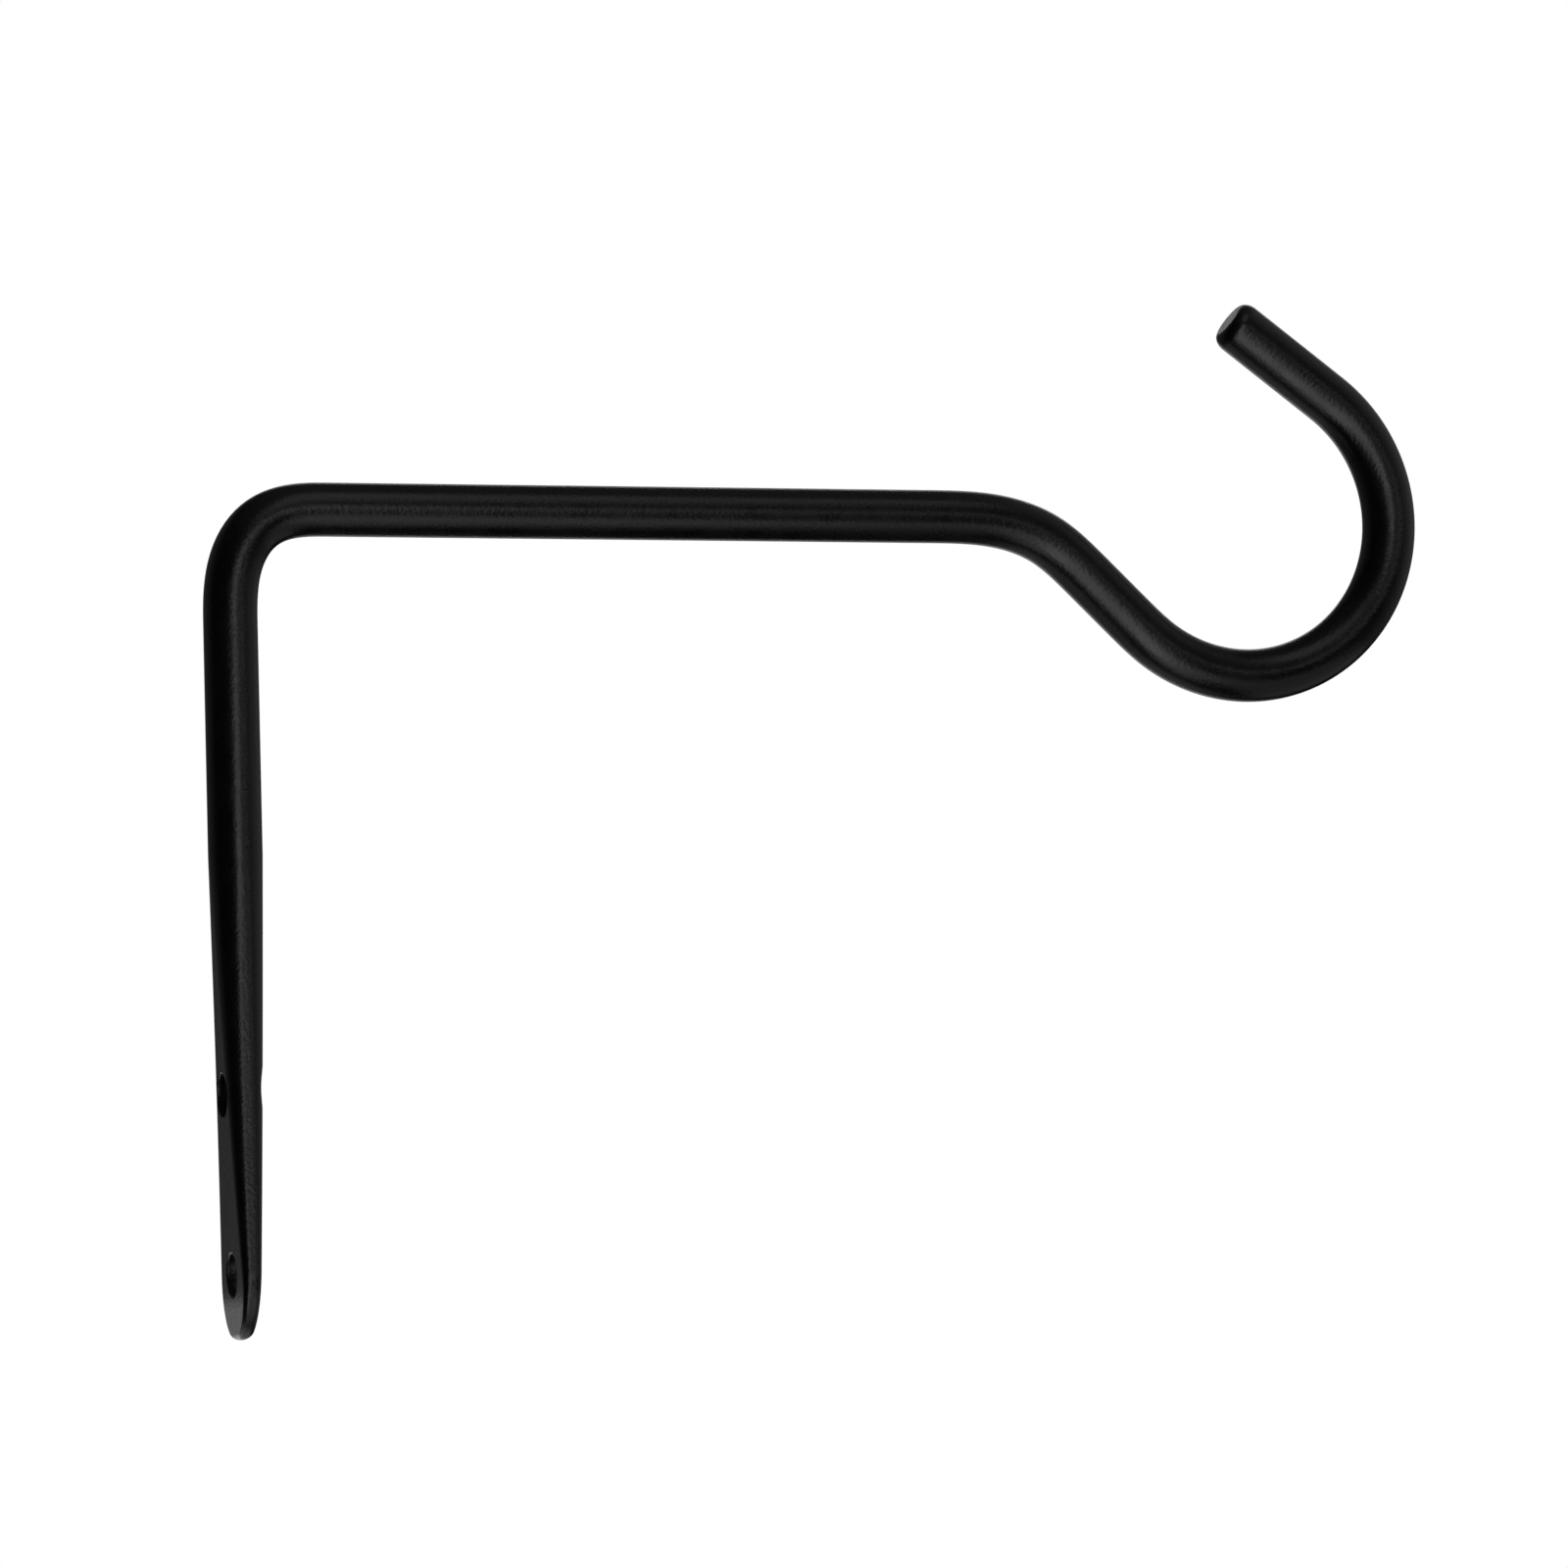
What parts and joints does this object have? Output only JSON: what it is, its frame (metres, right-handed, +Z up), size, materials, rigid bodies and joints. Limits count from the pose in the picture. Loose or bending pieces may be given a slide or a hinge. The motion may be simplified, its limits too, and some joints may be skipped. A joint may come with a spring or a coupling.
{
  "type": "wall plant hook",
  "caption": "Wall plant hook: a round steel bar, forged flat into a screw-on foot at one end and bent into an arm with an open, upturned hook.",
  "frame": {"origin": "on the foot's flat wall face, midway between the two screw holes", "axes": "+X points out of the wall, the way the arm reaches; +Z points up the wall; Y runs across the bar, which is alike on both sides of y = 0"},
  "size_m": [0.1553, 0.0118, 0.1212],
  "materials": {
    "black_powder_coat": "satin black powder coat"
  },
  "bodies": {
    "root": {"hook_bar": "black_powder_coat"}
  },
  "joints": []
}
